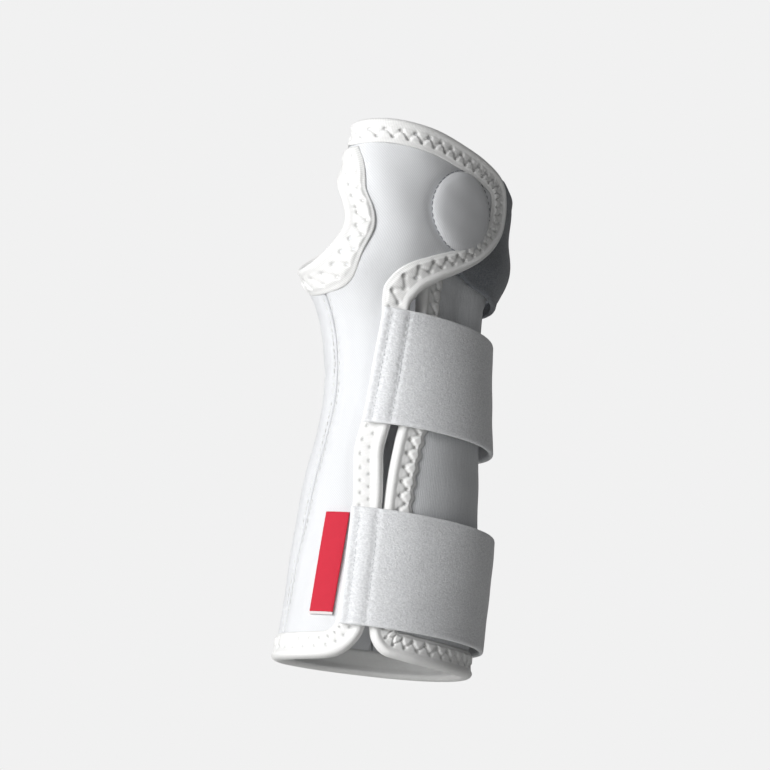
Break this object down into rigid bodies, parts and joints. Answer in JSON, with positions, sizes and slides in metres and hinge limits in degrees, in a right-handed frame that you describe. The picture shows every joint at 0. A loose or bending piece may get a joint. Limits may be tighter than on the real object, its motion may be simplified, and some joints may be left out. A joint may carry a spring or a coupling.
{
  "type": "wrist support",
  "caption": "Right-hand wrist support of padded cloth with a thumb hole, a hand flap and wrap-round straps, in its worn form.",
  "frame": {"origin": "The middle of the wrist, inside the sleeve, where the sleeve is narrowest.", "axes": "+Z runs along the forearm towards the hand, -Y is the back of the hand, +Y the palm, -X the thumb side and +X the little finger's side."},
  "size_m": [0.0865, 0.0635, 0.1785],
  "materials": {
    "panel_white": "ribbed knit",
    "panel_grey": "brushed knit",
    "tab_grey": "brushed knit",
    "tape_white": "folded tape",
    "strap_grey": "brushed loop",
    "hook_white": "hook pile",
    "label_red": "woven"
  },
  "bodies": {
    "root": {"thumb_panel": "panel_white", "palm_panel": "panel_white", "back_panel": "panel_grey", "hand_tab": "tab_grey", "thumb_binding": "tape_white", "flap_binding": "tape_white", "hem_binding": "tape_white", "palm_binding": "tape_white", "upper_strap": "strap_grey", "lower_strap": "strap_grey", "upper_strap_hook": "hook_white", "lower_strap_hook": "hook_white", "flap_hook": "hook_white", "label": "label_red"}
  },
  "joints": []
}
